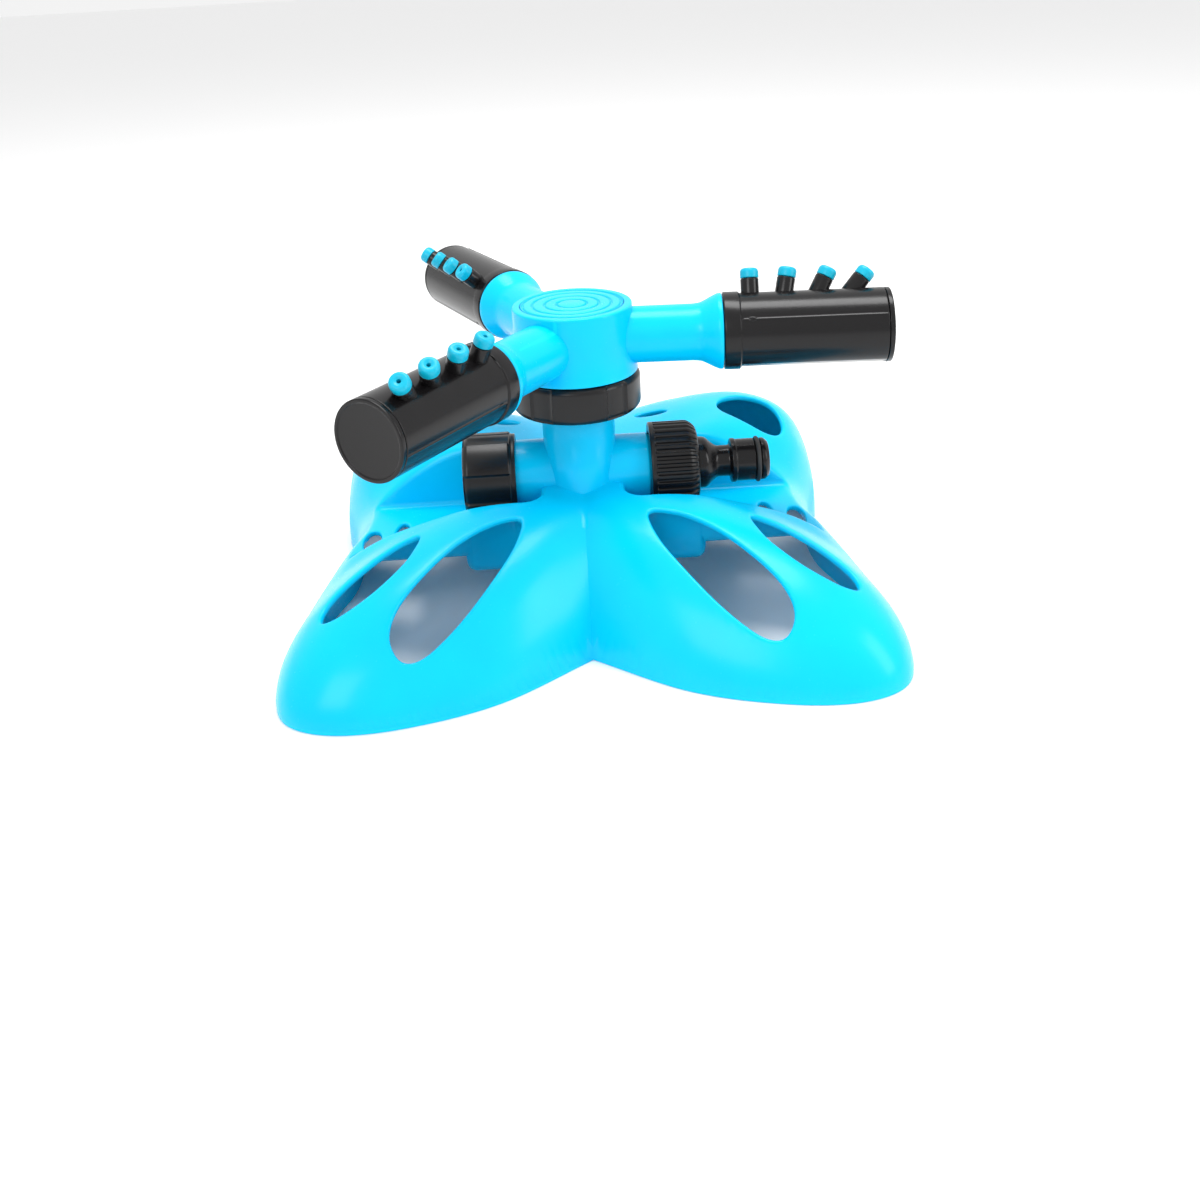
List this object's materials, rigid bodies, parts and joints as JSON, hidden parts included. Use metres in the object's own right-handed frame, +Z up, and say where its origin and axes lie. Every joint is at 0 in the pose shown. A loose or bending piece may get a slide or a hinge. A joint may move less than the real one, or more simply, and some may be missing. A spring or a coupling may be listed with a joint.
{
  "type": "lawn sprinkler",
  "caption": "Rotating lawn sprinkler: a spinning hub with twisting nozzle barrels on a riser, on a butterfly-shaped standing base with a hose nipple and an end cap.",
  "frame": {"origin": "on the ground, under the axis of the riser and the rotor", "axes": "+Z up, +X along the water pipe towards the hose nipple, -Y towards the two front wings with the large slots"},
  "size_m": [0.2354, 0.2208, 0.1298],
  "materials": {
    "blue_plastic": "glossy moulded",
    "black_plastic": "satin to glossy moulded",
    "teal_plastic": "satin moulded",
    "seal_rubber": "matte",
    "white_acetal": "smooth"
  },
  "bodies": {
    "base": {"base_body": "blue_plastic", "swivel_collar": "black_plastic", "collar_gasket": "seal_rubber", "slip_washer": "white_acetal", "spindle_o_ring": "seal_rubber", "spindle_clip": "white_acetal"},
    "rotor": {"rotor_hub": "blue_plastic", "hub_cap": "blue_plastic", "arm_o_ring_1": "seal_rubber", "arm_o_ring_2": "seal_rubber", "arm_o_ring_3": "seal_rubber", "barrel_clip_1": "white_acetal", "barrel_clip_2": "white_acetal", "barrel_clip_3": "white_acetal"},
    "barrel_1_body": {"barrel_1": "black_plastic", "barrel_cap_1": "black_plastic", "nozzle_1_1": "teal_plastic", "nozzle_1_2": "teal_plastic", "nozzle_1_3": "teal_plastic", "nozzle_1_4": "teal_plastic"},
    "barrel_2_body": {"barrel_2": "black_plastic", "barrel_cap_2": "black_plastic", "nozzle_2_1": "teal_plastic", "nozzle_2_2": "teal_plastic", "nozzle_2_3": "teal_plastic", "nozzle_2_4": "teal_plastic"},
    "barrel_3_body": {"barrel_3": "black_plastic", "barrel_cap_3": "black_plastic", "nozzle_3_1": "teal_plastic", "nozzle_3_2": "teal_plastic", "nozzle_3_3": "teal_plastic", "nozzle_3_4": "teal_plastic"},
    "inlet": {"inlet_nipple": "black_plastic", "nipple_o_ring": "seal_rubber", "inlet_washer": "seal_rubber"},
    "nut": {"union_nut": "black_plastic"},
    "cap_carrier": {"cap_washer": "seal_rubber"},
    "cap": {"end_cap": "black_plastic"}
  },
  "joints": [
    {"name": "rotor_spin", "type": "hinge", "parent": "base", "child": "rotor", "pos_m": [0, 0, 0.1072], "axis": [0, 0, 1], "continuous": true},
    {"name": "barrel_1_twist", "type": "hinge", "parent": "rotor", "child": "barrel_1_body", "pos_m": [0.08978, -0.00628, 0.1072], "axis": [-0.9976, 0.0698, 0], "range_deg": [-113, 67]},
    {"name": "barrel_2_twist", "type": "hinge", "parent": "rotor", "child": "barrel_2_body", "pos_m": [-0.03945, 0.08089, 0.1072], "axis": [0.4384, -0.8988, 0], "range_deg": [-137, 43]},
    {"name": "barrel_3_twist", "type": "hinge", "parent": "rotor", "child": "barrel_3_body", "pos_m": [-0.05033, -0.07461, 0.1072], "axis": [0.5592, 0.829, 0], "range_deg": [-115, 65]},
    {"name": "inlet_travel", "type": "slide", "parent": "base", "child": "inlet", "axis": [1, 0, 0], "range_m": [0, 0.00726]},
    {"name": "nut_turn", "type": "hinge", "parent": "inlet", "child": "nut", "pos_m": [0.037, 0, 0.052], "axis": [1, 0, 0], "range_deg": [0, 1440]},
    {"name": "cap_travel", "type": "slide", "parent": "base", "child": "cap_carrier", "axis": [-1, 0, 0], "range_m": [0, 0.00726]},
    {"name": "cap_turn", "type": "hinge", "parent": "cap_carrier", "child": "cap", "pos_m": [-0.036, 0, 0.052], "axis": [-1, 0, 0], "range_deg": [0, 1440]}
  ],
  "couplings": [
    {"joint": "nut_turn", "follows": "inlet_travel", "rad_per_m": 3463.7},
    {"joint": "cap_turn", "follows": "cap_travel", "rad_per_m": 3463.7}
  ]
}
